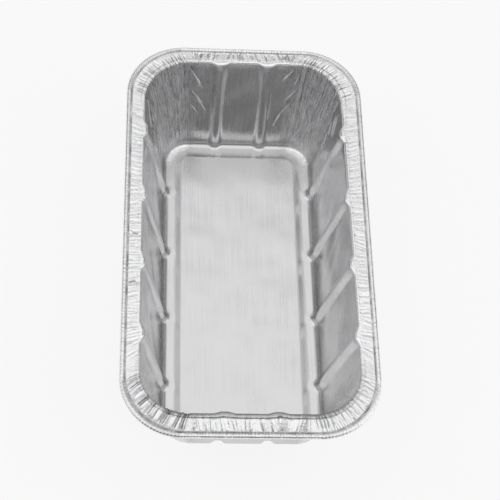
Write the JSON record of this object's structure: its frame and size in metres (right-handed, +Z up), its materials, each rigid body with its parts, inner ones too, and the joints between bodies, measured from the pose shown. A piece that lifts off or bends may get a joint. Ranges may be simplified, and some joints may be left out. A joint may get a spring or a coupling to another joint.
{
  "type": "foil loaf pan",
  "caption": "Disposable aluminium foil loaf pan with ribbed sloping walls, pleated corners and a crimped flange that ends in a rolled edge.",
  "frame": {"origin": "centre of the pan's outline, on the surface it stands on", "axes": "+Z up through the opening, +Y along the length of the pan, +X across it"},
  "size_m": [0.127, 0.2286, 0.0635],
  "materials": {
    "foil": "bright rolled foil, wrinkled on the flange"
  },
  "bodies": {
    "root": {"foil_pan": "foil"}
  },
  "joints": []
}
